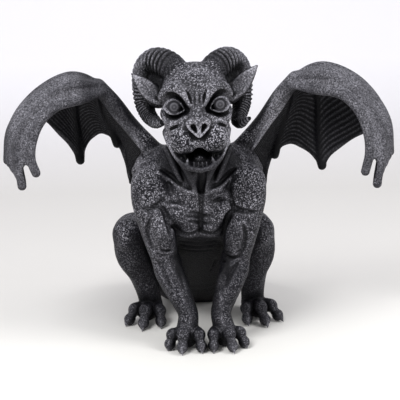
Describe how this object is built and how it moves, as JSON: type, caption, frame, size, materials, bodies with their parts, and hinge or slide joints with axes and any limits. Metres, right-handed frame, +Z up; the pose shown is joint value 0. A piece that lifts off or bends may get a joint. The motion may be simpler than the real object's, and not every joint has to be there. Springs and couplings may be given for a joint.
{
  "type": "winged gargoyle statue",
  "caption": "Crouching winged gargoyle in dark stone, with ram's horns, an open fanged mouth and bat wings cupped forward; it stands on its hands, feet and rump as an ornament",
  "frame": {"origin": "on the floor, under the middle of the statue's box", "axes": "+Z up, the face looks along -Y, the wings spread along X"},
  "size_m": [0.299, 0.1982, 0.241],
  "materials": {
    "stone": "dark charcoal stone, its raised carving dry-brushed grey, with a low satin sheen"
  },
  "bodies": {
    "root": {"gargoyle": "stone"}
  },
  "joints": []
}
